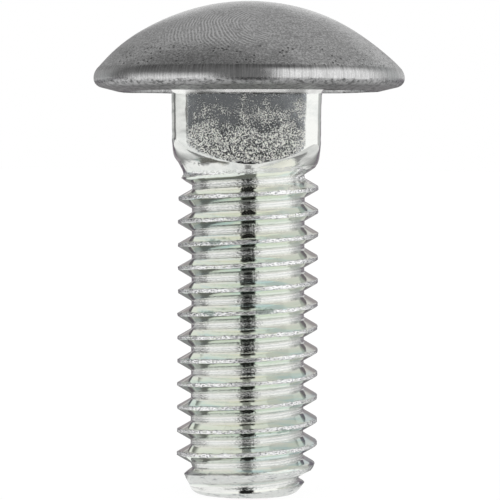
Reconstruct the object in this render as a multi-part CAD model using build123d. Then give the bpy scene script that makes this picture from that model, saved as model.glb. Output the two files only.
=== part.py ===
from build123d import *
from math import atan2, ceil, cos, degrees, pi, radians, sin, tan
import os

# A round head, square neck bolt with a rolled 7/16-14 thread, and the thin polished cap that is
# crimped over its forged head. Millimetres. The bolt stands on its point: the origin is the middle
# of the point's end face, +Z runs up through the shank to the crown, and the flats of the neck
# face +X, -X, +Y and -Y.

# Shank and thread
length_under_head = 31.75
thread_diameter = 10.98
thread_pitch = 25.4 / 14
thread_flank_angle = 30.0  # between each flank and the plane across the bolt
thread_crest_share = 0.138  # of the pitch, as is the root's
thread_root_share = 0.175
blank_step = 0.42  # how far the rolling blank lies inside the thread's crests
crest_fade_length = 0.95  # the last crest falls to the blank over this height
tool_reach = 0.15  # how far the groove's tool stands outside the crests

# The groove climbs out of the blank over the last part of a turn
runout_turns = 0.5
runout_clear = 0.27  # its root ends this far outside the crests
runout_steps = 6
runout_drop = 0.22  # from the neck's foot down to the last groove at full depth

# Point
point_length = 2.7
point_slope = 25.5  # half angle of the point's cone
point_edge_radius = 0.85

# Square neck
neck_step = 0.265  # how far each flat stands outside the thread's crests
neck_depth = 6.65
neck_corner_radius = 1.2
neck_draft = 0.8
neck_root_radius = 0.55  # fillet between the neck and the head

# The neck's nose: a funnel that carries the square down to the blank
nose_foot_slope = 63.0  # the funnel leaves the blank at this angle from level
nose_top_slope = 33.0  # and meets the neck's corners at this one
nose_radius = 2.3
nose_edge_radius = 1.2  # where the flats and corners turn in to the funnel

# Cap
cap_diameter = 24.29
cap_crown_height = 6.02  # crown above the widest line of the rim
cap_shoulder_radius = 1.15
cap_bend_inside = 0.27  # inside radius of the lip's bend
cap_rim_height = 0.05
cap_lip_slope = 13.4  # the lip falls this much towards its free edge
cap_mouth_diameter = 20.55
cap_sheet = 0.5
cap_lip_drop = 0.35  # the lip's free edge hangs this far below the head's underside
cap_edge_radius = 0.12
cap_clearance = 0.04  # between the cap and the forging, all over

touching = 0.001  # what lies nearer than this meets


def head_outline(inset):
    """Half outline of the head, from the crown to the free edge of the lip, moved in by inset."""
    rim = cap_diameter / 2
    mouth = cap_mouth_diameter / 2
    slope = radians(cap_lip_slope)

    bend_radius = cap_bend_inside + cap_sheet
    bend_x = rim - bend_radius
    lip_run = bend_x + bend_radius * sin(slope) - mouth
    lip_start_z = length_under_head - cap_lip_drop + lip_run * tan(slope)
    bend_centre = Vector(bend_x, lip_start_z + bend_radius * cos(slope))
    shoulder_centre = Vector(rim - cap_shoulder_radius, bend_centre.Y + cap_rim_height)

    rise = cap_crown_height - cap_shoulder_radius
    dome_drop = (shoulder_centre.X**2 - rise**2) / (2 * rise)
    dome_radius = dome_drop + cap_crown_height
    dome_centre = Vector(0, shoulder_centre.Y - dome_drop)
    shoulder_angle = degrees(atan2(dome_drop, shoulder_centre.X))

    dome = CenterArc(dome_centre, dome_radius - inset, 90, shoulder_angle - 90)
    shoulder = CenterArc(shoulder_centre, cap_shoulder_radius - inset, shoulder_angle, -shoulder_angle)
    bend = CenterArc(bend_centre, bend_radius - inset, 0, cap_lip_slope - 90)
    rim_line = Line(shoulder @ 1, bend @ 0)
    lip_line = Line(bend @ 1, bend @ 1 - Vector(1, tan(slope)) * lip_run)
    return [dome, shoulder, rim_line, bend, lip_line]


def turned(section):
    """A section drawn with X outwards and Y up, turned about the bolt's axis."""
    return revolve(Plane.XZ * section, Axis.Z)


def make_cap():
    """Sheet cap: the outline at the sheet's outside and inside, joined at the crown and the lip."""
    outside = head_outline(0)
    inside = head_outline(cap_sheet)
    crown_edge = Line(inside[0] @ 0, outside[0] @ 0)
    lip_edge = Line(outside[-1] @ 1, inside[-1] @ 1)
    section = make_face(outside + [lip_edge] + inside + [crown_edge])
    lip_corners = section.vertices().filter_by(lambda corner: lip_edge.distance_to(corner) < touching)
    return turned(fillet(lip_corners, cap_edge_radius))


def make_head():
    """Forged head: it fills the cap, and its bevelled rim carries the cap's lip."""
    outline = head_outline(cap_sheet + cap_clearance)
    bevel_start = outline.pop() @ 0
    bevel_run = (bevel_start.Y - length_under_head) / tan(radians(cap_lip_slope))
    bevel_end = Vector(bevel_start.X - bevel_run, length_under_head)
    crown = outline[0] @ 0
    return turned(make_face(outline + [Polyline(bevel_start, bevel_end, (0, length_under_head), crown)]))


def make_neck():
    """Square neck with draft, brought down to the blank by its funnel-shaped nose."""
    across = thread_diameter + 2 * neck_step
    blank_radius = thread_diameter / 2 - blank_step
    foot = length_under_head - neck_depth
    square = Pos(0, 0, length_under_head) * RectangleRounded(across, across, neck_corner_radius)
    prism = extrude(square, neck_depth, dir=(0, 0, -1), taper=neck_draft)

    foot_slope = radians(nose_foot_slope)
    bend_centre = Vector(blank_radius, foot) + Vector(sin(foot_slope), -cos(foot_slope)) * nose_radius
    bend = CenterArc(bend_centre, nose_radius, 90 + nose_foot_slope, nose_top_slope - nose_foot_slope)
    flare = Line(bend @ 1, bend @ 1 + Vector(across, across * tan(radians(nose_top_slope))))
    core = Polyline(flare @ 1, (0, (flare @ 1).Y), (0, foot), bend @ 0)
    funnel = turned(make_face([bend, flare, core]))
    neck = prism & funnel
    return fillet(new_edges(prism, funnel, combined=neck), nose_edge_radius)


def make_shank():
    """Rolled shank before its groove: blank under the neck, crest cylinder and point."""
    crest = thread_diameter / 2
    blank = crest - blank_step
    top = length_under_head - neck_depth
    end_radius = crest - point_length * tan(radians(point_slope))
    profile = Polyline(
        (0, 0),
        (end_radius, 0),
        (crest, point_length),
        (crest, top - crest_fade_length),
        (blank, top),
        (0, top),
        close=True,
    )
    section = make_face(profile)
    end_corner = section.vertices().filter_by(lambda corner: corner.Y < touching < corner.X)
    return turned(fillet(end_corner, point_edge_radius))


def groove_depth():
    """Depth at which the flanks leave the crest and the root at their widths."""
    flank_share = (1 - thread_crest_share - thread_root_share) / 2
    return thread_pitch * flank_share / tan(radians(thread_flank_angle))


def groove_section(height):
    """The rolling tool's section: a 60 degree groove with a flat root, in the XZ plane."""
    root = thread_diameter / 2 - groove_depth()
    mouth = thread_diameter / 2 + tool_reach
    root_half = thread_pitch * thread_root_share / 2
    mouth_half = root_half + (mouth - root) * tan(radians(thread_flank_angle))
    return Plane.XZ * make_face(
        Polyline(
            (root, height - root_half),
            (mouth, height - mouth_half),
            (mouth, height + mouth_half),
            (root, height + root_half),
            close=True,
        )
    )


def make_groove():
    """Right-hand helical groove, one tool for each turn and one that climbs out under the neck."""
    root = thread_diameter / 2 - groove_depth()
    rise = groove_depth() + runout_clear
    last_root = length_under_head - neck_depth - runout_drop
    turns = ceil(last_root / thread_pitch) + 1
    turn = sweep(groove_section(0), path=Helix(thread_pitch, thread_pitch, root), is_frenet=True)
    tools = [Pos(0, 0, last_root - step * thread_pitch) * turn for step in range(1, turns + 1)]

    climb = []
    for step in range(runout_steps + 1):
        share = step / runout_steps
        angle = 2 * pi * runout_turns * share
        radius = root + rise * share**2
        height = last_root + thread_pitch * runout_turns * share
        climb.append(Vector(radius * cos(angle), radius * sin(angle), height))
    path = Spline(*climb)
    guide = Line((0, 0, last_root), (0, 0, last_root + thread_pitch * runout_turns))
    tools.append(sweep(groove_section(last_root), path=path, binormal=guide.edge()))
    return tools


def make_bolt():
    """The whole forging, with its thread rolled in."""
    top = make_neck() + make_head()
    underside_edges = top.edges().filter_by_position(Axis.Z, length_under_head, length_under_head)
    neck_root = underside_edges.sort_by(SortBy.LENGTH)[:-1]  # all but the bevel's circle
    return make_shank() + fillet(neck_root, neck_root_radius) - make_groove()


os.makedirs("parts", exist_ok=True)
export_step(make_bolt(), "parts/bolt.step")
export_step(make_cap(), "parts/head_cap.step")
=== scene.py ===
from math import atan2, cos, degrees, pi, radians, sin, sqrt, tan
import bpy
import numpy as np
from mathutils import Matrix, Vector

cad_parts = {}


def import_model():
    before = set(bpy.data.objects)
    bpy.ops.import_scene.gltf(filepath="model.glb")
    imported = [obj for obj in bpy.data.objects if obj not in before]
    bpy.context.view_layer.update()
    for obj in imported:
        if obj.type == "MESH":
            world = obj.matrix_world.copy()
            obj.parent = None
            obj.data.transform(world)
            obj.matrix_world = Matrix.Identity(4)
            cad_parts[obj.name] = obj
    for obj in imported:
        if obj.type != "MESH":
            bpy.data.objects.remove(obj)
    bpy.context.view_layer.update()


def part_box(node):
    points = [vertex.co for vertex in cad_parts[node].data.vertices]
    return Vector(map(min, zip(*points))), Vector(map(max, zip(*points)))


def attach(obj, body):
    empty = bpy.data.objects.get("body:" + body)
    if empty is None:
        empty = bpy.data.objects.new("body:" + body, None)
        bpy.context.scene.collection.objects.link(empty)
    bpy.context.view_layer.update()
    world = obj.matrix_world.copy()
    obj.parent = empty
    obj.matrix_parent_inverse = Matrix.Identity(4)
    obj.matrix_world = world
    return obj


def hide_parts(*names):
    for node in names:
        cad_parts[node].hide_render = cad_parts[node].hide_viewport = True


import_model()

mm = 0.001
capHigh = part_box("head_cap")[1] / mm
print("frame loaded")


# small tools for the meshes, all in millimetres

latticePrimes = (374761393, 668265263, 2147483647, 1442695041)
scramble = ((13, 1274126177), (16, 2246822519))
allBits, someBits = 0xFFFFFFFF, 0xFFFFFF


def hashGrid(ix, iy, iz, seed):
    # the same number from 0 to 1 for the same lattice point
    n = sum(k * prime for k, prime in zip((ix, iy, iz, seed), latticePrimes)) & allBits
    for shift, prime in scramble:
        n = ((n ^ (n >> shift)) * prime) & allBits
    return ((n ^ (n >> 15)) & someBits) / someBits


def noise(x, y, z, seed):
    # smooth noise from -1 to 1, one lump for each unit
    fx, fy, fz = np.floor(x), np.floor(y), np.floor(z)
    ix, iy, iz = fx.astype(np.int64), fy.astype(np.int64), fz.astype(np.int64)
    u, v, w = [k * k * (3 - 2 * k) for k in (x - fx, y - fy, z - fz)]
    total = 0
    for dx in (0, 1):
        for dy in (0, 1):
            for dz in (0, 1):
                share = (u if dx else 1 - u) * (v if dy else 1 - v) * (w if dz else 1 - w)
                total = total + share * hashGrid(ix + dx, iy + dy, iz + dz, seed)
    return total * 2 - 1


def roughNoise(x, y, z, seed, octaves):
    total, weight = 0, 0
    for k in range(octaves):
        total = total + noise(x * 2**k, y * 2**k, z * 2**k, seed + k) / 2**k
        weight += 1 / 2**k
    return total / weight


def ragged(angle, z, depth, around, upward, seed, octaves):
    # unevenness of a turned surface: its depth, and its lumps a radian and a millimetre
    return depth * roughNoise(np.cos(angle) * around, np.sin(angle) * around, z * upward, seed, octaves)


def smoothMin(a, b, width):
    # the smaller of two, with the corner between them rounded over this width
    h = np.clip(0.5 + 0.5 * (b - a) / width, 0, 1)
    return b + (a - b) * h - width * h * (1 - h)


def smoothMax(a, b, width):
    return -smoothMin(-a, -b, width)


def ramp(x, start, end):
    # a soft step from 0 at start to 1 at end
    t = np.clip((x - start) / (end - start), 0, 1)
    return t * t * (3 - 2 * t)


def arcPoints(centreR, centreZ, radius, start, end, rows):
    return [(centreR + radius * cos(t), centreZ + radius * sin(t)) for t in np.linspace(start, end, rows)]


def meshPiece(name, points, faces, masks):
    # points in millimetres; masks are values at each point that the materials read
    mesh = bpy.data.meshes.new(name)
    mesh.from_pydata([tuple(p) for p in points * mm], [], faces)
    mesh.update()
    mesh.polygons.foreach_set("use_smooth", np.ones(len(mesh.polygons), bool))
    for maskName, values in masks.items():
        values = np.asarray(values, np.float32)
        kind = ("FLOAT", "value") if values.ndim == 1 else ("FLOAT_VECTOR", "vector")
        mask = mesh.attributes.new(maskName, kind[0], "POINT")
        mask.data.foreach_set(kind[1], values.ravel())
    piece = bpy.data.objects.new(name, mesh)
    bpy.context.scene.collection.objects.link(piece)
    return piece


# the outline that the cap and the head inside it share, and the cap's own unevenness

capShape = {
    "rim": capHigh[0],
    "top": capHigh[2],
    "underside": 31.75,  # height of the forged head's underside, where the neck ends
    "shoulderRadius": 1.15,
    "bendRadius": 0.77,
    "rimHeight": 0.05,  # the upright part between shoulder and bend
    "lipSlope": 13.4,
    "mouth": 10.275,  # radius of the lip's free edge
    "lipDrop": 0.35,  # that edge lies this far under the underside
    "sheet": 0.5,
    "clearance": 0.04,
    "domeRows": 70,
    "shoulderRows": 14,
    "bendRows": 14,
    "lipRows": 8,
    "edgeRows": (0.2, 0.5, 0.8),
    "insideStep": 2,  # the hidden inside takes every second point of the outline
    "columns": 320,
    "lean": 0.045,  # the cap sits this much higher at +X and lower at -X
    "sideBulge": 0.12,  # the dome is pressed this much towards -X half way up
    "bulgeHeight": 35.5,
    "bulgeReach": 1.5,
    "waveSize": 0.35,  # low waves of the sheet: lumps a millimetre, depth, rise, pull inward
    "waveSeed": 21,
    "waveOctaves": 3,
    "waveDepth": 0.02,
    "waveRise": 0.6,
    "wavePull": 0.5,
    "domeZone": (33.3, 34.2),  # heights over which the dome's effects come in
    "lipZone": (32.6, 31.6),  # and the lip's
    "lipLift": 0.07,
    "lipWander": 0.03,
    "wanderSize": 0.25,
    "wanderSeed": 31,
    "lipTilt": 0.04,
    "tiltAngle": 0.2,
    "settle": 0.012,  # all of the cap, down
    "rimPull": 0.008,  # the rim, inward
    "rimZone": (11, 12),
}


def headOutline(inset):
    # (radius, height) from the crown down to the free edge of the cap's lip, moved in by inset
    s = capShape
    slope = radians(s["lipSlope"])
    bend, shoulder = s["bendRadius"], s["shoulderRadius"]
    bendR = s["rim"] - bend
    lipRun = bendR + bend * sin(slope) - s["mouth"]
    lipStartZ = s["underside"] - s["lipDrop"] + lipRun * tan(slope)
    bendZ = lipStartZ + bend * cos(slope)
    shoulderR, shoulderZ = s["rim"] - shoulder, bendZ + s["rimHeight"]
    crownHeight = s["top"] - shoulderZ
    rise = crownHeight - shoulder
    domeDrop = (shoulderR**2 - rise**2) / (2 * rise)
    edge = atan2(domeDrop, shoulderR)

    line = arcPoints(0, shoulderZ - domeDrop, domeDrop + crownHeight - inset, pi / 2, edge, s["domeRows"])
    line += arcPoints(shoulderR, shoulderZ, shoulder - inset, edge, 0, s["shoulderRows"])[1:]
    line += arcPoints(bendR, bendZ, bend - inset, 0, slope - pi / 2, s["bendRows"])
    lastR, lastZ = line[-1]
    along = np.linspace(0, lipRun, s["lipRows"])[1:]
    return line + [(lastR - run, lastZ - run * tan(slope)) for run in along]


# the bolt: forged neck and shank with its rolled thread, in one mesh

boltShape = {
    "columnsOnFlat": 38,  # mesh columns over each flat, and over each corner
    "columnsOnCorner": 12,
    "crestRadius": 5.49,
    "pitch": 25.4 / 14,
    "rootHalf": 0.1587,  # half widths of root and crest, each with its rounding
    "rootRound": 0.05,
    "crestHalf": 0.1252,
    "crestRound": 0.035,
    "flankAngle": 30.0,
    "lastRoot": 24.88,  # height of the last full groove, at +X
    "runoutRise": 1.35,  # the groove climbs this much over its last half turn
    "blankRadius": 5.07,
    "neckFoot": 25.1,
    "fadeStart": 24.15,  # the crests fall to the blank from here to the neck's foot
    "pointLength": 2.7,
    "pointSlope": 25.5,
    "pointRound": 0.85,
    "pointBlend": 0.25,
    "pointGroove": 0.34,  # the thread starts deeper on the point, below these heights
    "grooveZone": (2.6, 1.4),
    "pointWear": 0.25,  # the point is rounded off more at +X, low down and far out
    "wearHeights": (1.1, 0.2),
    "wearRadii": (2.5, 4.0),
    "neckTop": capShape["underside"],
    "neckHalf": 5.755,
    "neckCorner": 1.2,
    "neckDraft": 0.8,
    "neckFillet": 0.52,  # height of the flare under the head
    "filletSlope": 33.0,
    "filletRound": 0.12,
    "noseRadius": 2.3,
    "noseFootSlope": 63.0,
    "noseTopSlope": 33.0,
    "noseBlend": 0.95,  # rounding from nose to neck at the sides
    "noseEdge": 0.12,  # and at the front and back flats
    "noseTurn": (0.55, 0.70),
    "noseLean": 0.16,  # the nose hangs lower at +X by this much
    "leanRise": 0.8,
    "neckShift": -0.18,  # the neck was forged a little off the thread's axis
    "shiftHeights": (24.3, 26.5),
    "shiftRadii": (7.5, 9.5),  # the head isn't moved with it
    "bevelStart": 9.41,
    "threadTop": 26.3,  # the helical rows end here and level rows begin
    "threadBottom": 0.85,
    "rowSteps": [0, 0.10, 0.13, 0.15, 0.17, 0.19, 0.23, 0.46, 0.70, 0.76, 0.785, 0.81, 0.86],
    "neckRows": 46,
    "flareRows": 9,
    "undersideRows": (0, 0.12, 0.4, 0.7, 1),
    "pointRows": 9,
    "endRows": (0.85, 0.65, 0.4, 0.2),
    "headStep": 6,  # the hidden head takes every sixth point of the outline
    "headTip": 0.01,
    "noseOverlap": 0.3,  # the nose begins this far below the neck's foot
    "wearEnd": (0.6, 1.4),  # the thread's unevenness ends over these heights above the foot
    "zincChange": (-0.2, 0.5),  # and its finish over these
    "flatSetback": 0.75,  # the flat's lower edge, as a share of the nose's rounding
    "flatSteepness": 0.6,
    "crestZone": (-0.12, 0.02),  # how near to the blank's surface the crests are torn
    "crestWear": 0.02,
    # raggedness: depth, lumps a radian, lumps a millimetre, seed, octaves
    "crestTeeth": (0.045, 34, 9, 11, 2),
    "threadWaves": (0.02, 6, 1.5, 5, 1),
    "neckWaves": (0.012, 5, 1, 41, 2),
    "flatWander": (0.010, 4, 1.6, 71, 3),
    "flareWander": (0.05, 11, 0, 87, 2),
    "scarTeeth": (0.38, 26, 5, 61, 2),
    "scarAngle": -28.0,  # a torn edge where the thread starts, near +X
    "scarHeight": 24.95,
    "scarSlope": -0.028,  # millimetres a degree
    "scarReach": (24, 14),  # degrees to each side
    "scarBand": (0.42, 0.16),
}
farOut = 99.0  # a radius beyond everything
depthLimit = 2.0


def columnAngles():
    s = boltShape
    flatHalf = degrees(atan2(s["neckHalf"] - s["neckCorner"], s["neckHalf"]))
    flat = np.linspace(-flatHalf, flatHalf, s["columnsOnFlat"], endpoint=False)
    corner = np.linspace(flatHalf, 90 - flatHalf, s["columnsOnCorner"], endpoint=False)
    quarter = np.concatenate([flat, corner])
    turn = np.concatenate([quarter + 90 * k for k in range(4)])
    return np.radians(np.sort(turn % 360))


def grooveRadius(angle, z):
    # radius of the groove's surface, the lowest of all its turns
    s = boltShape
    slope = 1 / tan(radians(s["flankAngle"]))
    depth = (s["pitch"] / 2 - s["crestHalf"] - s["rootHalf"]) * slope
    root = s["crestRadius"] - depth
    first = s["lastRoot"] + s["pitch"] * angle / (2 * pi)
    turnsDown = np.maximum(np.round((first - z) / s["pitch"]), 0)
    best = np.full(np.shape(z + angle), farOut)
    for extra in (0, 1):
        turn = np.maximum(turnsDown - extra, 0)
        away = np.abs(z - first + s["pitch"] * turn)
        climbing = (turn == 0)
        climb = s["runoutRise"] * np.clip(angle / pi, 0, 1) ** 2
        here = root + np.where(climbing, climb, 0)
        here = np.where(climbing & (angle > pi), farOut, here)
        flank = (away - s["rootHalf"]) * slope
        flank = smoothMax(flank, 0 * flank, s["rootRound"]) - s["pointGroove"] * ramp(z, *s["grooveZone"])
        best = np.minimum(best, here + flank)
    return best


def threadTurn(angle, z):
    # how many turns the thread has made at this height and angle
    return (z - boltShape["lastRoot"]) / boltShape["pitch"] - angle / (2 * pi)


def neckHalfAt(z):
    return boltShape["neckHalf"] - (boltShape["neckTop"] - z) * tan(radians(boltShape["neckDraft"]))


def squareRadius(angle, z):
    # radius of the neck's rounded square
    s = boltShape
    half = neckHalfAt(z)
    folded = np.abs((angle + ragged(angle, z, *s["flatWander"]) + pi / 4) % (pi / 2) - pi / 4)
    inner = half - s["neckCorner"]
    onFlat = half / np.cos(folded)
    reach = inner * sqrt(2)
    off = folded - pi / 4
    under = np.maximum(s["neckCorner"] ** 2 - (reach * np.sin(off)) ** 2, 0)
    onCorner = reach * np.cos(off) + np.sqrt(under)
    return np.where(half * np.tan(folded) <= inner, onFlat, onCorner)


def funnelRadius(angle, z):
    # the neck's nose: an arc out of the blank, then a straight flare
    s = boltShape
    z = z + s["noseLean"] * np.cos(angle) * ramp(z, s["neckFoot"], s["neckFoot"] + s["leanRise"])
    foot, top = radians(s["noseFootSlope"]), radians(s["noseTopSlope"])
    centreR = s["blankRadius"] + sin(foot) * s["noseRadius"]
    centreZ = s["neckFoot"] - cos(foot) * s["noseRadius"]
    up = np.clip(z - centreZ, -s["noseRadius"], s["noseRadius"])
    arc = centreR - np.sqrt(s["noseRadius"] ** 2 - up**2)
    arcTopZ = centreZ + s["noseRadius"] * cos(top)
    arcTopR = centreR - s["noseRadius"] * sin(top)
    flare = arcTopR + (z - arcTopZ) / tan(top)
    return np.where(z < arcTopZ, arc, flare)


def noseRounding(angle):
    s = boltShape
    return s["noseEdge"] + (s["noseBlend"] - s["noseEdge"]) * ramp(np.abs(np.cos(angle)), *s["noseTurn"])


def flatDepth(angle, z):
    # how far a point on a flat lies inside the flat's own edges
    s = boltShape
    half = neckHalfAt(z)
    folded = (angle + pi / 4) % (pi / 2) - pi / 4
    sides = half - s["neckCorner"] - np.abs(half * np.tan(folded))
    above = s["neckTop"] - s["neckFillet"] - z
    below = funnelRadius(angle, z) - half / np.cos(folded) - noseRounding(angle) * s["flatSetback"]
    below = below * s["flatSteepness"]
    below = np.where(z > s["neckFoot"], below, -depthLimit)
    return np.clip(np.minimum(np.minimum(sides, above), below), -depthLimit, depthLimit)


def blankRadius(angle, z):
    # everything but the groove: point, shank, neck and the flare under the head
    s = boltShape
    cone = s["crestRadius"] - (s["pointLength"] - z) * tan(radians(s["pointSlope"]))
    shank = smoothMin(cone, s["crestRadius"] + 0 * z, s["pointBlend"])
    fade = ramp(z, s["fadeStart"], s["neckFoot"])
    shank = shank - fade * (s["crestRadius"] - s["blankRadius"])
    neck = smoothMin(squareRadius(angle, z), funnelRadius(angle, z), noseRounding(angle))
    neck = neck + ragged(angle, z, *s["neckWaves"])
    body = np.where(z > s["neckFoot"] - s["noseOverlap"], np.maximum(shank, neck), shank)
    uneven = ragged(angle, z, *s["flareWander"])
    intoFillet = np.clip(z - (s["neckTop"] - s["neckFillet"]) + uneven, 0, s["neckFillet"])
    last = np.clip(intoFillet - s["neckFillet"] + s["filletRound"], 0, s["filletRound"])
    flare = intoFillet * tan(radians(s["filletSlope"]))
    return body + flare + s["filletRound"] - np.sqrt(s["filletRound"] ** 2 - last**2)


def scarShare(angle, z):
    s = boltShape
    aside = (np.degrees(angle) - s["scarAngle"] + 180) % 360 - 180
    away = np.abs(z - s["scarHeight"] - aside * s["scarSlope"])
    return ramp(np.abs(aside), *s["scarReach"]) * ramp(away, *s["scarBand"])


def shankRadius(angle, z):
    s = boltShape
    blank = blankRadius(angle, z)
    groove = grooveRadius(angle, z)
    onThread = 1 - ramp(z - s["neckFoot"], *s["wearEnd"])
    crest = onThread * ramp(groove - blank, *s["crestZone"])
    blank = blank + crest * (ragged(angle, z, *s["crestTeeth"]) - s["crestWear"])
    blank = blank + onThread * ragged(angle, z, *s["threadWaves"])
    scar = scarShare(angle, z) * ragged(angle, z, *s["scarTeeth"])
    return smoothMin(blank, groove, s["crestRound"]) + scar


def stackRings(points, faces, angles, ring, outline, tip, up):
    # rings from the given one on, up or down, then a fan of triangles to a tip on the axis;
    # points are kept as angle, radius and height until the bolt is whole
    neighbours = list(zip(range(len(angles)), [*range(1, len(angles)), 0]))
    for radius, z in outline:
        fresh = list(range(len(points), len(points) + len(angles)))
        points.extend((a, r, z) for a, r in zip(angles, radius + 0 * angles))
        low, high = (ring, fresh) if up else (fresh, ring)
        faces.extend((low[c], low[d], high[d], high[c]) for c, d in neighbours)
        ring = fresh
    middle = len(points)
    points.append((0, 0, tip))
    faces.extend((ring[c], ring[d], middle) if up else (ring[d], ring[c], middle) for c, d in neighbours)


def threadRows(points, faces, angles):
    # rows that follow the thread's helix, cut off level at both ends; gives the end rows
    s = boltShape
    columns = len(angles)
    halfPitch = s["pitch"] / 2
    upper = [t for t in s["rowSteps"] if t < halfPitch]
    steps = upper + [halfPitch] + [s["pitch"] - t for t in reversed(upper[1:])]
    turns = int((s["threadTop"] - s["threadBottom"]) / s["pitch"]) + 4  # with spare ones at both ends
    base = s["lastRoot"] + s["pitch"] * 2 - s["pitch"] * turns
    rows = np.array([base + s["pitch"] * k + t for k in range(turns) for t in steps])
    grid = np.zeros((columns, len(rows)), int)
    for c, a in enumerate(angles):
        heights = np.clip(rows + s["pitch"] * a / (2 * pi), s["threadBottom"], s["threadTop"])
        heights, order = np.unique(np.round(heights, 6), return_inverse=True)
        grid[c] = len(points) + order
        points += [(a, r, z) for r, z in zip(shankRadius(a, heights), heights)]
    for c in range(columns):
        shift = len(steps) if c == columns - 1 else 0
        here, there = grid[c, :len(rows) - shift], grid[(c + 1) % columns, shift:]
        for k in range(len(here) - 1):
            corners = [here[k], there[k], there[k + 1], here[k + 1]]
            corners = [v for n, v in enumerate(corners) if v != corners[n - 1]]
            if len(corners) > 2:
                faces.append(tuple(corners))
    return list(grid[:, 0]), list(grid[:, -1])


def neckAndHead(points, faces, angles, top):
    # up the neck and its flare, out under the head and over its hidden top
    s = boltShape
    flareFoot = s["neckTop"] - s["neckFillet"]
    flareTurn = np.linspace(0, pi / 2, s["flareRows"])[1:-1]
    heights = list(np.linspace(s["threadTop"], flareFoot, s["neckRows"]))[1:]
    heights += [flareFoot + s["neckFillet"] * sin(t) for t in flareTurn]
    outline = [(shankRadius(angles, z), z) for z in heights]
    edge = shankRadius(angles, s["neckTop"])
    outline += [(edge + (s["bevelStart"] - edge) * share, s["neckTop"]) for share in s["undersideRows"]]
    head = headOutline(capShape["sheet"] + capShape["clearance"])
    outline += reversed(head[1:-capShape["lipRows"]:s["headStep"]])
    stackRings(points, faces, angles, top, outline, outline[-1][1] + s["headTip"], up=True)


def pointEnd(points, faces, angles, bottom):
    # round the edge of the point and in to the middle of its end
    s = boltShape
    cone = radians(s["pointSlope"])
    endR = s["crestRadius"] - s["pointLength"] * tan(cone)
    arcR = endR + s["pointRound"] * (tan(cone) - 1 / cos(cone))
    outline = arcPoints(arcR, s["pointRound"], s["pointRound"], -cone, -pi / 2, s["pointRows"])
    outline += [(arcR * share, 0) for share in s["endRows"]]
    stackRings(points, faces, angles, bottom, outline, 0, up=False)


def buildBolt():
    s = boltShape
    angles = columnAngles()
    points, faces = [], []
    bottom, top = threadRows(points, faces, angles)
    neckAndHead(points, faces, angles, top)
    pointEnd(points, faces, angles, bottom)

    angle, radius, z = np.array(points).T
    worn = ramp(z, *s["wearHeights"]) * np.clip(np.cos(angle), 0, 1) ** 2 * ramp(radius, *s["wearRadii"])
    radius = radius - s["pointWear"] * worn
    shifted = ramp(z, *s["shiftHeights"]) * (1 - ramp(radius, *s["shiftRadii"]))
    x, y = radius * np.cos(angle) + s["neckShift"] * shifted, radius * np.sin(angle)
    turn = 2 * pi * threadTurn(angle, z)
    masks = {
        "threadPhase": 0.5 - 0.5 * np.cos(turn),  # 0 in the root, 1 on the crest
        "threadWay": np.stack([np.cos(turn), np.sin(turn), 0 * turn], 1),
        "scar": scarShare(angle, z),
        "onThread": 1 - ramp(z - s["neckFoot"], *s["zincChange"]),
        "flatDepth": flatDepth(angle, z),
    }
    return meshPiece("forgedBolt", np.stack([x, y, z], 1), faces, masks)


forgedBolt = buildBolt()
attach(forgedBolt, "root")
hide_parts("bolt")
print("bolt built,", len(forgedBolt.data.polygons), "faces")


# the pressed cap over the head

def unevenSheet(a, r, z):
    # sheet metal is never quite even: low waves over the dome, and a lip that wanders a little
    s = capShape
    x, y = r * np.cos(a), r * np.sin(a)
    nearLip = ramp(z, *s["lipZone"])
    onDome = ramp(z, *s["domeZone"])
    size = s["waveSize"]
    wave = roughNoise(x * size, y * size, z * size, s["waveSeed"], s["waveOctaves"]) * s["waveDepth"]
    size = s["wanderSize"]
    wander = s["lipWander"] * noise(x * size, y * size, z * 0, s["wanderSeed"])
    wander = wander + s["lipTilt"] * np.cos(a - s["tiltAngle"])
    z = z + wave * s["waveRise"] + nearLip * wander + s["lipLift"] * nearLip - s["settle"]
    r = r - np.abs(wave) * s["wavePull"] - s["rimPull"] * ramp(r, *s["rimZone"])
    x, y = r * np.cos(a), r * np.sin(a)
    z = z + s["lean"] * x / s["rim"]
    x = x - onDome * s["sideBulge"] * np.exp(-((z - s["bulgeHeight"]) / s["bulgeReach"]) ** 2)
    return np.stack([x.ravel(), y.ravel(), z.ravel()], 1)


def buildCap():
    s = capShape
    columns = s["columns"]
    outside = headOutline(0)
    inside = headOutline(s["sheet"])
    lipOut, lipIn = np.array(outside[-1]), np.array(inside[-1])
    edge = [tuple(lipOut + (lipIn - lipOut) * t) for t in s["edgeRows"]]
    hidden = inside[:0:-s["insideStep"]]
    outline = np.array(outside[1:] + edge + hidden)
    rows = len(outline)
    a = np.repeat(np.linspace(0, 2 * pi, columns, endpoint=False)[None, :], rows, 0)
    r, z = [np.repeat(outline[:, k:k + 1], columns, 1) for k in (0, 1)]
    points = unevenSheet(a, r, z)

    faces = []
    for row in range(rows - 1):
        low, high = row * columns, (row + 1) * columns
        for c in range(columns):
            d = (c + 1) % columns
            faces.append((low + c, high + c, high + d, low + d))
    crown, under = len(points), len(points) + 1
    middles = [ring.mean(0)[None, :] for ring in (points[:columns], points[-columns:])]
    points = np.concatenate([points] + middles)
    last = (rows - 1) * columns
    for c in range(columns):
        d = (c + 1) % columns
        faces.append((crown, c, d))
        faces.append((under, last + d, last + c))

    # height down from the line where dome and shoulder meet, and whether a point is inside the cap
    shoulderLine = outside[s["domeRows"] - 1][1]
    inner = np.zeros(len(points))
    inner[(len(outside) + 1) * columns:-2] = 1
    inner[-1] = 1
    masks = {"insideCap": inner, "belowDome": shoulderLine - points[:, 2]}
    return meshPiece("pressedCap", points, faces, masks)


pressedCap = buildCap()
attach(pressedCap, "root")
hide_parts("head_cap")
print("cap built,", len(pressedCap.data.polygons), "faces")


# shader building: nodes, sums, masks and colours in a few words

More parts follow.
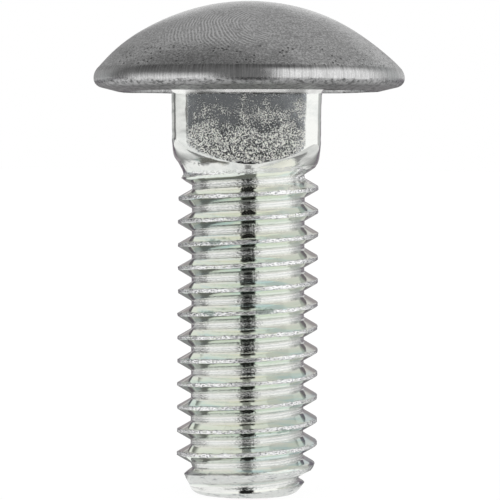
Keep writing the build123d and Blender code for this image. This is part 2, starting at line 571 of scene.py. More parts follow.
def put(tree, kind, inputs=None, **settings):
    # a node with its settings; an input is either another node's output or a plain value
    node = tree.nodes.new("ShaderNode" + kind)
    for name, value in settings.items():
        setattr(node, name, value)
    for name, value in (inputs or {}).items():
        if isinstance(value, bpy.types.NodeSocket):
            tree.links.new(value, node.inputs[name])
        else:
            node.inputs[name].default_value = value
    return node


def calc(tree, how, a, b=0.0):
    return put(tree, "Math", {0: a, 1: b}, operation=how).outputs[0]


def times(tree, product, *factors):
    for factor in factors:
        product = calc(tree, "MULTIPLY", product, factor)
    return product


def plus(tree, a, b):
    return calc(tree, "ADD", a, b)


def swing(tree, value, reach):
    # a value about a half becomes one about zero
    return times(tree, calc(tree, "SUBTRACT", value, 0.5), reach)


def remap(tree, value, start, end, low=0.0, high=1.0, way="LINEAR"):
    inputs = {"Value": value, 1: start, 2: end, 3: low, 4: high}
    return put(tree, "MapRange", inputs, interpolation_type=way).outputs[0]


def fadeIn(tree, value, start, end):
    return remap(tree, value, start, end, way="SMOOTHSTEP")


def blendValue(tree, share, a, b):
    return put(tree, "Mix", {0: share, 2: a, 3: b}).outputs[0]


def blendColour(tree, share, a, b):
    return put(tree, "Mix", {0: share, 6: a, 7: b}, data_type="RGBA").outputs[2]


def layers(tree, blend, base, coats):
    # coats from the lowest up, each with the share of the surface that it covers
    for share, coat in coats:
        base = blend(tree, share, base, coat)
    return base


def vectorMath(tree, how, a, b):
    return put(tree, "VectorMath", {0: a, 1: b}, operation=how).outputs


def stretch(tree, vector, scale):
    return vectorMath(tree, "MULTIPLY", vector, scale)[0]


def grainAt(tree, vector, scale, detail=2.0, rough=0.55, squash=None):
    # squash is for lumps that are longer one way
    place = stretch(tree, vector, squash) if squash else vector
    inputs = {"Vector": place, "Scale": scale, "Detail": detail, "Roughness": rough}
    return put(tree, "TexNoise", inputs).outputs[0]


def millimetres(tree):
    place = put(tree, "TexCoord").outputs["Object"]
    return put(tree, "VectorMath", {0: place, "Scale": 1 / mm}, operation="SCALE").outputs[0]


def parts(tree, vector):
    return put(tree, "SeparateXYZ", {0: vector}).outputs


def faceHeight(tree):
    # 1 where the surface looks straight up, -1 straight down
    return parts(tree, put(tree, "NewGeometry").outputs["Normal"])[2]


def maskOf(tree, name, output="Fac"):
    return put(tree, "Attribute", attribute_name=name).outputs[output]


def newGroup(name, inputs, outputs):
    group = bpy.data.node_groups.new(name, "ShaderNodeTree")
    for label, value in inputs.items():
        kind = "NodeSocketVector" if isinstance(value, tuple) else "NodeSocketFloat"
        group.interface.new_socket(label, in_out="INPUT", socket_type=kind).default_value = value
    for label in outputs:
        group.interface.new_socket(label, in_out="OUTPUT", socket_type="NodeSocketFloat")
    return group, group.nodes.new("NodeGroupInput").outputs, group.nodes.new("NodeGroupOutput").inputs


def useGroup(tree, group, **inputs):
    # a group's node with its own values
    node = tree.nodes.new("ShaderNodeGroup")
    node.node_tree = group
    for name, value in inputs.items():
        socket = node.inputs[name.capitalize()]
        if isinstance(value, bpy.types.NodeSocket):
            tree.links.new(value, socket)
        else:
            socket.default_value = value
    return node.outputs


def emptyTree(owner):
    # the nodes of a material or world, with nothing in them yet
    owner.use_nodes = True
    owner.node_tree.nodes.clear()
    return owner.node_tree


def newMaterial(name, piece):
    material = bpy.data.materials.new(name)
    piece.data.materials.append(material)
    return emptyTree(material)


def finishMetal(tree, colour, roughness, height):
    # height is in millimetres
    bump = put(tree, "Bump", {"Height": height, "Distance": mm, "Strength": 1.0})
    inputs = {"Base Color": colour, "Metallic": 1.0, "Roughness": roughness, "Normal": bump.outputs[0]}
    shader = put(tree, "BsdfPrincipled", inputs)
    put(tree, "OutputMaterial", {"Surface": shader.outputs[0]})


# effects that both metals share

effects = {
    "clusters": (0.45, 1.0),  # noises: lumps a millimetre, detail, roughness
    "ownChance": 0.4,  # a pit's chance, by itself and by its cluster
    "clusterChance": 1.2,
    "pitFloor": 0.45,  # share of a pit's radius that is fully deep
    "smudgeGrain": (6.0, 0.65),
    "cloudLevels": (0.72, 0.32),  # where smudges start at no coverage and at full coverage
    "smudgeEdge": 0.12,
    "fineGrain": (3.0, 0.7),  # detail and roughness
    "scratches": (4.0, 0.75),
}
origin = (0.0, 0.0, 0.0)


def makePits():
    # small round pits of uneven size, in loose clusters
    inputs = {"Vector": origin, "Spacing": 0.5, "Size": 0.3, "Coverage": 0.5}
    group, given, out = newGroup("pits", inputs, ["Mask"])
    scale = calc(group, "DIVIDE", 1.0, given["Spacing"])
    cells = put(group, "TexVoronoi", {"Vector": given["Vector"], "Scale": scale})
    chance = put(group, "SeparateColor", {0: cells.outputs["Color"]}).outputs[0]
    clusters = grainAt(group, given["Vector"], *effects["clusters"])
    chance = times(group, chance, effects["ownChance"])
    chance = plus(group, chance, times(group, clusters, effects["clusterChance"]))
    here = calc(group, "LESS_THAN", chance, given["Coverage"])
    edge = times(group, given["Size"], effects["pitFloor"])
    hole = remap(group, cells.outputs["Distance"], edge, given["Size"], 1.0, 0.0)
    group.links.new(times(group, here, hole), out["Mask"])
    return group


def makeSmudges():
    # dull patches with torn edges
    group, given, out = newGroup("smudges", {"Vector": origin, "Size": 3.0, "Coverage": 0.4}, ["Mask"])
    scale = calc(group, "DIVIDE", 1.0, given["Size"])
    cloud = grainAt(group, given["Vector"], scale, *effects["smudgeGrain"])
    start = remap(group, given["Coverage"], 0.0, 1.0, *effects["cloudLevels"])
    mask = calc(group, "DIVIDE", calc(group, "SUBTRACT", cloud, start), effects["smudgeEdge"])
    group.links.new(put(group, "Clamp", {0: mask}).outputs[0], out["Mask"])
    return group


def makeGrain(name, detail, rough):
    # noise by the size of its lumps; a stretched vector makes hair lines of it
    group, given, out = newGroup(name, {"Vector": origin, "Size": 0.1}, ["Height"])
    scale = calc(group, "DIVIDE", 1.0, given["Size"])
    group.links.new(grainAt(group, given["Vector"], scale, detail, rough), out["Height"])
    return group


pits, smudges = makePits(), makeSmudges()
fineGrain = makeGrain("fine grain", *effects["fineGrain"])
scratches = makeGrain("scratches", *effects["scratches"])


# bright zinc with a clear passivation, over rolled, forged and sheared steel

zincLook = {
    "bright": (0.87, 0.875, 0.85, 1),
    "neck": (0.85, 0.86, 0.83, 1),
    "neckCloud": (0.66, 0.69, 0.67, 1),
    "cream": (0.88, 0.875, 0.80, 1),
    "green": (0.80, 0.855, 0.79, 1),
    "teal": (0.70, 0.80, 0.80, 1),
    "crest": (0.95, 0.95, 0.95, 1),
    "crestDirt": (0.32, 0.33, 0.34, 1),
    "flat": (0.62, 0.65, 0.67, 1),
    "fleck": (1.0, 1.0, 0.97, 1),
    "point": (0.66, 0.67, 0.65, 1),
    # painted highlight: the corner under the head is paler than the zinc
    "corner": (0.97, 0.97, 0.95, 1),
    # grime in the neck's pits, and painted shade in the hollows between flecks
    "grimeAndShade": (0.30, 0.30, 0.28, 1),
    "shade": (0.06, 0.06, 0.055, 1),
    "stain": (0.20, 0.27, 0.24, 1),
    # places of the stains, in millimetres
    "stains": [(-2.8, -4.7, 19.85), (-3.1, -4.6, 14.35), (1.4, -5.3, 14.6), (3.0, -4.6, 5.3)],
    "neckRough": 0.12,
    "rolledRough": 0.055,
    "crestRough": 0.24,
    "flatRough": 0.13,
    "fleckRough": 0.95,
    "cornerRough": 0.25,
    "streakDepth": 0.002,  # millimetres, like the other depths
    "noduleDepth": 0.044,
    "crestDepth": 0.03,
    "fleckDepth": 0.012,
    # shares of the surface's colour that a coat covers
    "cloudShare": 0.55,
    "rolledShare": 0.35,
    "toolShare": 0.8,
    "stainShare": 0.7,
    "hollowShare": 0.7,
    "pitShare": 0.5,
    "smudgeShare": 0.3,
    # noises: lumps a millimetre, detail, roughness, squash
    "tintGrain": (0.8, 3.0),
    "neckGrain": (0.7, 5.0, 0.65, (0.6, 0.6, 1.0)),
    "thinGrain": (0.9, 3.0),
    "nicks": (9.0, 3.0, 0.65, (0.5, 0.5, 1.5)),
    "shearLines": (1.6, 5.0, 0.75, (0.8, 0.8, 4.0)),
    "stainGrain": (2.4, 4.0, 0.7),
    "edgeGrain": (2.2, 4.0, 0.7),
    "fleckCloud": (0.75, 4.0, 0.65),
    "pepper": (11.5, 2.0, 0.6),
    "nodules": (7.5, 2.0, 0.55, (0.6, 0.6, 1.7)),
    "tornSquash": (0.45, 0.45, 1.2),
    "tornSize": 0.17,  # lumps in millimetres
    "streakSize": 1.7,
    "stainSquash": 4.5,  # stains are this much wider than high
    "streakWay": (6.0, (0.35, 0.35, 0.06)),  # pull of the thread's turning and of the place
    "tintWay": (0.7, (0.3, 0.3, 0.12)),
    # how far noise moves an edge
    "tornReach": 0.45,
    "thinReach": 0.3,
    "pointReach": 1.2,
    "stainReach": 4.0,
    "fleckReach": 15.0,
    "edgeReach": 0.7,
    "cornerReach": 0.25,
    # where each effect begins and where it is full, by phase of the thread, height or noise
    "cloudFade": (0.42, 0.66),
    "rolledFade": (0.50, 0.66),
    "paintedShadeDown": (0.25, -0.45),  # painted shade in green, by how far a face looks down
    "greenCloud": (0.48, 0.62),
    "tealCloud": (0.54, 0.66),
    "crestNicks": (0.39, 0.48),
    "pointNicks": (0.36, 0.50),
    "shearFade": (0.46, 0.36),
    "flatFade": (0.02, 0.06),
    "fleckFade": (0.0, 0.05),
    "hollowFade": (-0.05, -0.14),
    "undersideFade": (-0.80, -0.96),
    "flankFade": (0.08, 0.35),
    "toolFade": (0.012, 0.003),
    "crestFade": (0.93, 0.96),
    "rootFade": (0.16, 0.08),
    "landFade": (0.26, 0.44),
    "endFade": (0.45, 0.30),
    "pointFade": (2.3, 1.7),
    "stainFade": (1.1, 0.5),
    "fleckBand": (31.8, 28.6, 0.68, 0.49),  # two heights and how rare flecks are at each
    "hollowBand": (31.0, 29.0),
    "cornerFade": (31.18, 31.25),
    "pits": {"spacing": 0.7, "size": 0.16, "coverage": 0.52},
    "smudges": {"size": 2.4, "coverage": 0.3},
}


def alongThread(tree, at, turns, drift):
    # a vector that turns with the thread, so that noise on it runs along the helix
    turning, placed = stretch(tree, at["way"], (turns,) * 3), stretch(tree, at["spot"], drift)
    return vectorMath(tree, "ADD", turning, placed)[0]


def rolledCoats(tree, at, streaks):
    # cream on faces that look up, painted shade in a darker green on faces that look down, and rolling
    # lines
    look, onThread, phase = zincLook, at["onThread"], at["phase"]
    clouds = grainAt(tree, alongThread(tree, at, *look["tintWay"]), *look["tintGrain"])
    tint = layers(tree, blendColour, look["cream"], [
        # painted shade: faces that look down turn a darker green
        (fadeIn(tree, at["up"], *look["paintedShadeDown"]), look["green"]),
        (fadeIn(tree, clouds, *look["greenCloud"]), look["green"]),
        (fadeIn(tree, clouds, *look["tealCloud"]), look["teal"]),
    ])
    flank = times(tree, onThread, fadeIn(tree, phase, *look["flankFade"]))
    rolled = times(tree, onThread, fadeIn(tree, streaks, *look["rolledFade"]))
    toolMark = times(tree, onThread, fadeIn(tree, phase, *look["toolFade"]))
    return [
        (onThread, look["bright"]),
        (flank, tint),
        (times(tree, rolled, look["rolledShare"]), look["neckCloud"]),
        (times(tree, toolMark, look["toolShare"]), look["neckCloud"]),
    ]


def crestMask(tree, at):
    # the rolled crests, wandering and torn, and the torn edge under the neck
    look, phase = zincLook, at["phase"]
    tornWay = stretch(tree, at["spot"], look["tornSquash"])
    grain = useGroup(tree, fineGrain, vector=tornWay, size=look["tornSize"])["Height"]
    torn = swing(tree, grain, look["tornReach"])
    thin = swing(tree, grainAt(tree, at["spot"], *look["thinGrain"]), look["thinReach"])
    crest = fadeIn(tree, plus(tree, phase, plus(tree, torn, thin)), *look["crestFade"])
    return calc(tree, "MAXIMUM", times(tree, at["onThread"], crest), maskOf(tree, "scar"))


def pointMask(tree, at, nicks):
    # the lands of the point, up to a ragged line
    look = zincLook
    edge = plus(tree, at["height"], swing(tree, nicks, look["pointReach"]))
    onLand = fadeIn(tree, at["phase"], *look["landFade"])
    nearEnd = fadeIn(tree, at["height"], *look["endFade"])
    return times(tree, fadeIn(tree, edge, *look["pointFade"]), calc(tree, "MAXIMUM", onLand, nearEnd))


def rubbedCoats(tree, at, nicks, crest, point):
    # crests are rubbed white, with dark nicks; the point looks much the same
    look = zincLook
    rubbed = blendColour(tree, fadeIn(tree, nicks, *look["crestNicks"]), look["crestDirt"], look["crest"])
    shearLines = grainAt(tree, at["spot"], *look["shearLines"])
    sheared = layers(tree, blendColour, look["neckCloud"], [
        (fadeIn(tree, nicks, *look["pointNicks"]), look["point"]),
        (fadeIn(tree, shearLines, *look["shearFade"]), look["crestDirt"]),
    ])
    return [(crest, rubbed), (point, sheared)]


def stainCoats(tree, at):
    # a few green and black stains on single crests
    look, squash = zincLook, zincLook["stainSquash"]
    patchy = swing(tree, grainAt(tree, at["spot"], *look["stainGrain"]), look["stainReach"])
    level = stretch(tree, at["spot"], (1.0, 1.0, squash))
    coats = []
    for x, y, z in look["stains"]:
        away = vectorMath(tree, "DISTANCE", level, (x, y, z * squash))["Value"]
        stain = fadeIn(tree, plus(tree, away, patchy), *look["stainFade"])
        coats.append((times(tree, stain, look["stainShare"]), look["stain"]))
    return coats


def flatMasks(tree, at, edgeNoise, pepper):
    # flats of the neck: dark and plain near the head, peppered with bright flecks below, with painted
    # shade in the hollows between the flecks
    look = zincLook
    flat = fadeIn(tree, plus(tree, at["inFlat"], edgeNoise), *look["flatFade"])
    cloud = swing(tree, grainAt(tree, at["spot"], *look["fleckCloud"]), look["fleckReach"])
    level = calc(tree, "SUBTRACT", at["height"], cloud)
    over = calc(tree, "SUBTRACT", pepper, remap(tree, level, *look["fleckBand"]))
    fleck = times(tree, flat, fadeIn(tree, over, *look["fleckFade"]))
    # painted shade in the low spots between the flecks
    hollowShade = times(tree, flat, fadeIn(tree, over, *look["hollowFade"]))
    hollowShade = times(tree, hollowShade, fadeIn(tree, level, *look["hollowBand"]), look["hollowShare"])
    return flat, fleck, hollowShade


def grimeCoats(tree, at):
    # a little grime and fine pits on the smooth neck
    look = zincLook
    smooth = calc(tree, "SUBTRACT", 1.0, at["onThread"])
    pitted = useGroup(tree, pits, vector=at["spot"], **look["pits"])["Mask"]
    cloudy = useGroup(tree, smudges, vector=at["spot"], **look["smudges"])["Mask"]
    return [
        (times(tree, pitted, smooth, look["pitShare"]), look["grimeAndShade"]),
        (times(tree, cloudy, smooth, look["smudgeShare"]), look["green"]),
    ]


def makeZinc(piece):
    look = zincLook
    tree = newMaterial("bright zinc", piece)
    spot = millimetres(tree)
    at = {
        "spot": spot,
        "height": parts(tree, spot)[2],
        "up": faceHeight(tree),
        "way": maskOf(tree, "threadWay", "Vector"),
        "phase": maskOf(tree, "threadPhase"),
        "onThread": maskOf(tree, "onThread"),
        "inFlat": maskOf(tree, "flatDepth"),
    }
    helix = alongThread(tree, at, *look["streakWay"])
    streaks = useGroup(tree, scratches, vector=helix, size=look["streakSize"])["Height"]
    nicks = grainAt(tree, spot, *look["nicks"])
    pepper = grainAt(tree, spot, *look["pepper"])
    edgeNoise = swing(tree, grainAt(tree, spot, *look["edgeGrain"]), look["edgeReach"])
    crest, point = crestMask(tree, at), pointMask(tree, at, nicks)
    rubbed = calc(tree, "MAXIMUM", crest, point)
    flat, fleck, hollowShade = flatMasks(tree, at, edgeNoise, pepper)

    # the corner under the head is matt, and pale as a painted highlight, with painted shade on the head's
    # underside
    cornerEdge = plus(tree, at["height"], times(tree, edgeNoise, look["cornerReach"]))
    corner = fadeIn(tree, cornerEdge, *look["cornerFade"])
    underside = times(tree, corner, fadeIn(tree, at["up"], *look["undersideFade"]))

    neckCloud = fadeIn(tree, grainAt(tree, spot, *look["neckGrain"]), *look["cloudFade"])
    coats = [(times(tree, neckCloud, look["cloudShare"]), look["neckCloud"])]
    coats += rolledCoats(tree, at, streaks) + rubbedCoats(tree, at, nicks, crest, point)
    coats += stainCoats(tree, at)
    # painted shade in the hollows between flecks
    coats += [(flat, look["flat"]), (hollowShade, look["grimeAndShade"]), (fleck, look["fleck"])]
    # a painted highlight on the corner under the head, and painted shade on the head's underside
    coats += [(corner, look["corner"]), (underside, look["shade"])] + grimeCoats(tree, at)
    colour = layers(tree, blendColour, look["neck"], coats)
    rough = layers(tree, blendValue, look["neckRough"], [
        (at["onThread"], look["rolledRough"]),
        (rubbed, look["crestRough"]),
        (flat, look["flatRough"]),
        (fleck, look["fleckRough"]),
        (corner, look["cornerRough"]),
        (underside, look["fleckRough"]),
    ])

    inRoot = times(tree, at["onThread"], fadeIn(tree, at["phase"], *look["rootFade"]))
    streakHeight = times(tree, streaks, times(tree, at["onThread"], look["streakDepth"]))
    noduleHeight = times(tree, grainAt(tree, spot, *look["nodules"]), inRoot, look["noduleDepth"])
    tornHeight = times(tree, nicks, rubbed, look["crestDepth"])
    fleckHeight = times(tree, pepper, flat, look["fleckDepth"])
    height = plus(tree, plus(tree, streakHeight, noduleHeight), plus(tree, tornHeight, fleckHeight))
    finishMetal(tree, colour, rough, height)


makeZinc(forgedBolt)


# polished sheet steel of the cap

capLook = {
    "steel": (0.60, 0.60, 0.60, 1),
    "rim": (0.70, 0.70, 0.70, 1),
    "worn": (0.80, 0.80, 0.80, 1),
    "dull": (0.31, 0.31, 0.31, 1),
    # painted shade for the lip's underside
    "lip": (0.42, 0.42, 0.42, 1),
    # dark: in pits, and for painted shade on the lip and inside the cap, and a painted dark reflection
    # under the shoulder
    "dark": (0.14, 0.14, 0.14, 1),
    "polishedRough": 0.27,
    "rimRough": 0.20,
    "dullRough": 0.42,
    # the polishing wheel's marks, in millimetres
    "arcs": {"centre": (1.6, -8.0, 36.9), "spacing": 0.25, "inner": 1.0, "outer": 9.5},
    "arcDepth": 0.0045,  # millimetres, like the other depths
    "levelDepth": 0.010,
    "rimLineDepth": 0.012,
    "grainDepth": 0.006,
    "pitDepth": 0.02,
    "gapShare": 0.45,
    "scratchShare": 0.7,
    "rimLineShare": 0.42,
    "smudgeShare": 0.55,
    # noises: lumps a millimetre, detail, roughness, squash
    "edgeGrain": (2.5, 3.0),
    "speckle": (3.2, 4.0, 0.75, (1.0, 1.0, 1.8)),
    "mottle": (3.0, 4.0, 0.7, (1.0, 1.0, 1.6)),
    "wanderGrain": (0.3,),
    "arcGrain": (1.3, 3.0),
    "levelSquash": (0.5, 0.5, 4.0),
    "smudgeSquash": (0.6, 0.6, 1.6),
    "levelSize": 0.8,  # lumps in millimetres
    "grainSize": 0.15,
    "lineSize": 0.13,
    "linesOutward": (14.0, 14.0, 0.0),  # pull of the way outward and of the height
    "linesUp": (0.0, 0.0, 0.05),
    # how far noise moves an edge or a ring
    "edgeReach": 0.25,
    "lipReach": 1.2,
    "arcReach": 0.8,
    # shares at the two ends of a blend
    "grainShares": (0.2, 0.75),  # on the rim and on the dome
    "darkBandShares": (0.3, 0.75),
    "arcStart": 1.0,  # the rings come in over this width and go out over the next
    "arcEnd": 3.0,
    # where each effect begins and where it is full
    "arcLine": (0.1, 0.9),
    "arcGap": (-0.1, -0.9),
    "arcFade": (0.36, 0.56),
    "levelFade": (0.5, 0.7),
    "grainFade": (0.40, 0.62),
    "rimLineFade": (0.42, 0.60),
    "darkBandLineFade": (0.40, 0.62),
    "speckleFade": (0.40, 0.58),
    "mottleFade": (0.36, 0.58),
    "wheelHeights": (-0.8, -2.0),  # below the line where dome and shoulder meet
    "wheelSide": (3.0, 0.4),  # across the bolt, from +X to -X
    "levelSide": (-3.0, 3.0, 0.35, 1.0),
    "domeEdge": (0.03, -0.03),
    "pitBelt": (-1.75, -1.25),
    "darkBandStart": (-0.04, 0.03),
    "darkBandEnd": (0.50, 0.03),
    "lipFade": (-0.16, -0.60),  # painted shade on the lip, by how far the surface looks down
    "pits": {"spacing": 0.34, "size": 0.36, "coverage": 0.76},
    "smudges": {"size": 1.6, "coverage": 0.55},
}


def makeArcs():
    # rings that a polishing wheel left round one point, broken up by noise
    look = capLook
    inputs = {"Vector": origin, "Centre": origin, "Spacing": 0.34, "Inner": 1.0, "Outer": 9.5}
    group, given, out = newGroup("polishing arcs", inputs, ["Height", "Lines", "Gaps"])
    away = vectorMath(group, "DISTANCE", given["Vector"], given["Centre"])["Value"]
    wander = swing(group, grainAt(group, given["Vector"], *look["wanderGrain"]), look["arcReach"])
    rings = calc(group, "DIVIDE", plus(group, away, wander), given["Spacing"])
    wave = calc(group, "SINE", times(group, rings, 2 * pi))
    uneven = fadeIn(group, grainAt(group, given["Vector"], *look["arcGrain"]), *look["arcFade"])
    inside = remap(group, away, given["Inner"], plus(group, given["Inner"], look["arcStart"]))
    fadeFrom = calc(group, "SUBTRACT", given["Outer"], look["arcEnd"])
    beyond = remap(group, away, fadeFrom, given["Outer"], 1.0, 0.0)
    reach = times(group, inside, beyond, uneven)
    group.links.new(times(group, wave, reach), out["Height"])
    group.links.new(times(group, fadeIn(group, wave, *look["arcLine"]), reach), out["Lines"])
    group.links.new(times(group, fadeIn(group, wave, *look["arcGap"]), reach), out["Gaps"])
    return group


def makeCapSteel(piece):
    look = capLook
    tree = newMaterial("polished cap steel", piece)
    spot = millimetres(tree)
    x, y, _ = parts(tree, spot)
    below = maskOf(tree, "belowDome")
    edgeNoise = swing(tree, grainAt(tree, spot, *look["edgeGrain"]), look["edgeReach"])
    edge = plus(tree, below, edgeNoise)
    dome = fadeIn(tree, edge, *look["domeEdge"])
    rim = calc(tree, "SUBTRACT", 1.0, dome)

    # the dome: wheel marks on one side, near-level scratches, fine grain all over
    wheel = useGroup(tree, makeArcs(), vector=spot, **look["arcs"])
    wheelSide = fadeIn(tree, below, *look["wheelHeights"])
    wheelSide = times(tree, wheelSide, fadeIn(tree, x, *look["wheelSide"]))
    levelWay = stretch(tree, spot, look["levelSquash"])
    level = useGroup(tree, scratches, vector=levelWay, size=look["levelSize"])["Height"]
    levelSide = times(tree, dome, remap(tree, x, *look["levelSide"]))
    scratch = times(tree, fadeIn(tree, level, *look["levelFade"]), levelSide, look["scratchShare"])
    grain = useGroup(tree, fineGrain, vector=spot, size=look["grainSize"])["Height"]
    grainColour = blendColour(tree, fadeIn(tree, grain, *look["grainFade"]), look["dull"], look["worn"])

    # the rim: fine lines that run over the edge, the same way all round
    ringWay = put(tree, "CombineXYZ", {0: x, 1: y, 2: 0.0}).outputs[0]
    outward = put(tree, "VectorMath", {0: ringWay}, operation="NORMALIZE").outputs[0]
    across, up = stretch(tree, outward, look["linesOutward"]), stretch(tree, spot, look["linesUp"])
    lineWay = vectorMath(tree, "ADD", across, up)[0]
    lines = useGroup(tree, scratches, vector=lineWay, size=look["lineSize"])["Height"]
    rimLine = times(tree, fadeIn(tree, lines, *look["rimLineFade"]), rim, look["rimLineShare"])
    # a painted dark reflection in a band just under the line where dome and shoulder meet, broken by the
    # rim's lines
    darkBand = times(tree, fadeIn(tree, edge, *look["darkBandStart"]), fadeIn(tree, edge, *look["darkBandEnd"]))
    broken = blendValue(tree, fadeIn(tree, lines, *look["darkBandLineFade"]), *look["darkBandShares"])
    darkBand = times(tree, darkBand, broken)

    # pits and dark smudges in a belt above the shoulder, more of them in places
    belt = times(tree, fadeIn(tree, below, *look["pitBelt"]), dome)
    pit = times(tree, useGroup(tree, pits, vector=spot, **look["pits"])["Mask"], belt)
    cloudWay = stretch(tree, spot, look["smudgeSquash"])
    cloudy = useGroup(tree, smudges, vector=cloudWay, **look["smudges"])["Mask"]
    speckle = fadeIn(tree, grainAt(tree, spot, *look["speckle"]), *look["speckleFade"])
    smudge = times(tree, cloudy, speckle, belt)

    # painted shade on the lip's underside, mottled
    mottle = grainAt(tree, spot, *look["mottle"])
    lipEdge = plus(tree, faceHeight(tree), swing(tree, mottle, look["lipReach"]))
    lip = fadeIn(tree, lipEdge, *look["lipFade"])
    lipColour = blendColour(tree, fadeIn(tree, mottle, *look["mottleFade"]), look["dark"], look["lip"])

    colour = layers(tree, blendColour, look["rim"], [
        (dome, look["steel"]),
        (blendValue(tree, dome, *look["grainShares"]), grainColour),
        (times(tree, wheel["Lines"], wheelSide), look["worn"]),
        (times(tree, wheel["Gaps"], wheelSide, look["gapShare"]), look["dull"]),
        (scratch, look["dull"]),
        (rimLine, look["dull"]),
        (times(tree, smudge, look["smudgeShare"]), look["dull"]),
        (pit, look["dark"]),
        # painted dark reflection under the line where dome and shoulder meet
        (darkBand, look["dark"]),
        (lip, lipColour),
        # painted shade: the hidden inside of the cap is dark
        (maskOf(tree, "insideCap"), look["dark"]),
    ])
    rough = blendValue(tree, dome, look["rimRough"], look["polishedRough"])
    rough = blendValue(tree, calc(tree, "MAXIMUM", smudge, lip), rough, look["dullRough"])

    wheelHeight = times(tree, wheel["Height"], wheelSide, look["arcDepth"])
    levelHeight = times(tree, level, times(tree, levelSide, look["levelDepth"]))
    lineHeight = times(tree, lines, times(tree, rim, look["rimLineDepth"]))
    grainHeight = times(tree, grain, times(tree, dome, look["grainDepth"]))
    pitHeight = times(tree, pit, -look["pitDepth"])
    height = plus(tree, plus(tree, wheelHeight, levelHeight), plus(tree, lineHeight, grainHeight))
    finishMetal(tree, colour, rough, plus(tree, height, pitHeight))


makeCapSteel(pressedCap)
print("materials made")


# studio: white room, pale floor, and boards that only reflections see; the world is the only light

studio = {
    "backdrop": 1.0,  # white for the camera and for reflections
    "ambient": 0.75,  # what the world gives to matt surfaces
    "floorWhite": 0.85,  # share of the floor that stays white under the object's shadow
    "floorGlow": 1.08,
    "floorColour": (0.9, 0.9, 0.9, 1),
    "floorSize": 6000.0,  # all in millimetres and degrees
    "floorDrop": 0.02,
    "cameraDistance": 226.5,
    "cameraHeight": 27.15,
    "cameraAside": 0.152,
    "cameraPitch": 2.041,
    "cameraRoll": 0.36,
    "lens": 208.5,
    "nearClip": 10.0,
    "boardColumns": 97,
    "boardRows": 49,
    "footFade": 6,  # a board that starts above the floor fades out over this height
}

white, cool, blush, pink = (1, 1, 1), (0.97, 1, 1), (1, 0.93, 0.97), (1, 0.87, 1.03)

# azimuth runs from the camera's side towards +X, and half is a board's half width as an angle;
# soft and softTop say over how much its sides and its top fade
standing = {  # azimuth, half, distance, bottom, top, glow, tint, soft, softTop
    "lensStrip": (0.4, 16.5, 23, 0, 28, 0.015, white, 4.5, 2),
    "lensBoard": (-3, 19, 24, 22, 60, 0.18, white, 4, 14),
    "leftBoard": (-46, 50, 75, 0, 64, 1.03, white, 10, 50),
    "rightBoard": (47, 57, 75, 0, 150, 1.1, white, 8, 90),
    "edgeLeft": (-127, 16, 78, 0, 60, 0.46, cool, 12, 30),
    "edgeRight": (126, 16, 78, 0, 120, 0.52, cool, 12, 60),
    "backBoard": (180, 16, 80, 38, 95, 1.1, white, 5, 45),
    "backLow": (180, 22, 82, 0, 60, 0.34, blush, 6, 10),
    "sideLeft": (-140, 36, 90, 0, 28, 0.15, pink, 10, 5),
    "sideRight": (142, 34, 90, 0, 36, 0.19, pink, 10, 10),
    "neckLeft": (-140, 34, 76, 23, 31, 0.62, white, 8, 2),
    "highRight": (138, 38, 95, 0, 130, 0.68, white, 10, 60),
    "frontTop": (-25, 100, 120, 0, 170, 0.18, white, 10, 1),
    "room": (180, 180, 140, 0, 170, 0.4, white, 0, 0),
}
lying = {  # azimuth, half, height, inner, outer, glow, soft
    "ceiling": (180, 180, 170, 0, 140, 0.48, 0),
    "frontCeiling": (-25, 100, 165, 0, 135, 0.2, 10),
    "floorBack": (180, 180, 0.05, 7, 140, 0.25, 0),
    "floorLeft": (-60, 58, 0.1, 7, 140, 0.95, 20),
    "floorRight": (62, 60, 0.1, 7, 140, 0.7, 20),
    "floorFarLeft": (-112, 46, 0.12, 25, 140, 0.95, 20),
    "floorFarRight": (112, 46, 0.12, 25, 140, 0.8, 20),
    "floorNearLeft": (-24, 18, 0.15, 7, 30, 0.9, 3),
    "floorNearMiddle": (0.5, 12, 0.15, 17, 30, 0.9, 4),
    "floorNearRight": (25, 18, 0.15, 7, 30, 0.9, 3),
}


def camera():
    s = studio
    lensHolder = bpy.data.cameras.new("camera")
    lensHolder.lens = s["lens"]
    lensHolder.clip_start = s["nearClip"] * mm
    holder = bpy.data.objects.new("camera", lensHolder)
    bpy.context.scene.collection.objects.link(holder)
    place = Vector((s["cameraAside"], -s["cameraDistance"], s["cameraHeight"])) * mm
    pitch = Matrix.Rotation(radians(90 - s["cameraPitch"]), 4, "X")
    roll = Matrix.Rotation(radians(s["cameraRoll"]), 4, "Z")
    holder.matrix_world = Matrix.Translation(place) @ pitch @ roll
    bpy.context.scene.camera = holder


def seenByLens(tree):
    # 1 for the rays that carry the picture or a reflection of it
    rays = put(tree, "LightPath").outputs
    share = rays["Is Camera Ray"]
    for kind in ("Is Glossy Ray", "Is Transmission Ray"):
        share = plus(tree, share, rays[kind])
        share.node.use_clamp = True
    return share


def mixShaders(tree, share, first, second):
    return put(tree, "MixShader", {0: share, 1: first.outputs[0], 2: second.outputs[0]}).outputs[0]


def world():
    bpy.context.scene.world = bpy.data.worlds.new("studio")
    tree = emptyTree(bpy.context.scene.world)
    seen = put(tree, "Background", {"Strength": studio["backdrop"], "Color": (*white, 1)})
    soft = put(tree, "Background", {"Strength": studio["ambient"], "Color": (*white, 1)})
    put(tree, "OutputWorld", {"Surface": mixShaders(tree, seenByLens(tree), soft, seen)})


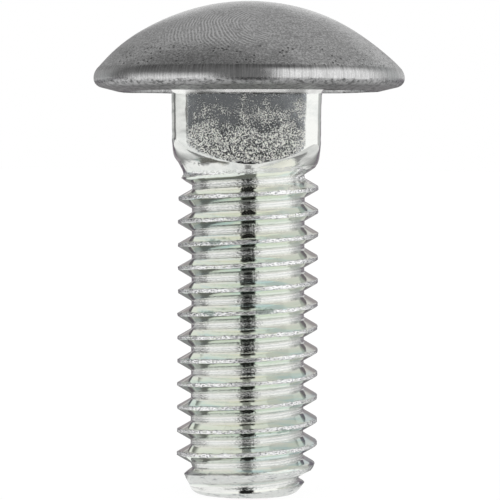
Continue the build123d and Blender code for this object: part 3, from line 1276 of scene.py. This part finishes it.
def floor():
    half, level = studio["floorSize"] / 2, -studio["floorDrop"]
    corners = np.array([(x * half, y * half, level) for x, y in ((-1, -1), (1, -1), (1, 1), (-1, 1))])
    ground = meshPiece("floor", corners, [(0, 1, 2, 3)], {})
    tree = newMaterial("pale floor", ground)
    matt = put(tree, "BsdfDiffuse", {"Color": studio["floorColour"]})
    lit = put(tree, "Emission", {"Color": (*white, 1), "Strength": studio["floorGlow"]})
    share = times(tree, seenByLens(tree), studio["floorWhite"])
    put(tree, "OutputMaterial", {"Surface": mixShaders(tree, share, matt, lit)})


def board(name, points, cover, glow, tint):
    # a glowing sheet with fading edges that neither the camera nor the floor sees
    cols = studio["boardColumns"]
    rows = len(points) // cols
    faces = [(r * cols + c, r * cols + c + 1, (r + 1) * cols + c + 1, (r + 1) * cols + c)
             for r in range(rows - 1) for c in range(cols - 1)]
    sheet = meshPiece(name, points, faces, {"cover": cover})
    sheet.visible_camera = False
    sheet.visible_diffuse = False
    sheet.visible_shadow = False
    tree = newMaterial(name, sheet)
    clear = put(tree, "BsdfTransparent")
    lit = put(tree, "Emission", {"Color": (*tint, 1), "Strength": glow})
    put(tree, "OutputMaterial", {"Surface": mixShaders(tree, maskOf(tree, "cover"), clear, lit)})


def around(azimuth, half, soft):
    # angles across a board, and its cover there, which fades to the sides
    across = np.linspace(azimuth - half, azimuth + half, studio["boardColumns"])
    sides = ramp(half - np.abs(across - azimuth), 0, soft) if soft else np.ones(len(across))
    return np.radians(across), sides


def stand(name, azimuth, half, distance, bottom, top, glow, tint, soft, softTop):
    across, sides = around(azimuth, half, soft)
    a, z = np.meshgrid(across, np.linspace(bottom, top, studio["boardRows"]))
    points = np.stack([distance * np.sin(a), -distance * np.cos(a), z], -1).reshape(-1, 3)
    fade = ramp(top - z, 0, softTop) if softTop else 1.0
    if bottom > 0:
        fade = fade * ramp(z - bottom, 0, studio["footFade"])
    board(name, points, (sides * fade + 0 * a).ravel(), glow, tint)


def lie(name, azimuth, half, height, inner, outer, glow, soft):
    across, sides = around(azimuth, half, soft)
    a, r = np.meshgrid(across, np.array([inner, (inner + outer) / 2, outer]))
    points = np.stack([r * np.sin(a), -r * np.cos(a), height + 0 * a], -1).reshape(-1, 3)
    board(name, points, (sides + 0 * a).ravel(), glow, white)


camera()
world()
floor()
for name, values in standing.items():
    stand(name, *values)
for name, values in lying.items():
    lie(name, *values)
bpy.context.scene.view_settings.view_transform = "Standard"
print("studio set")
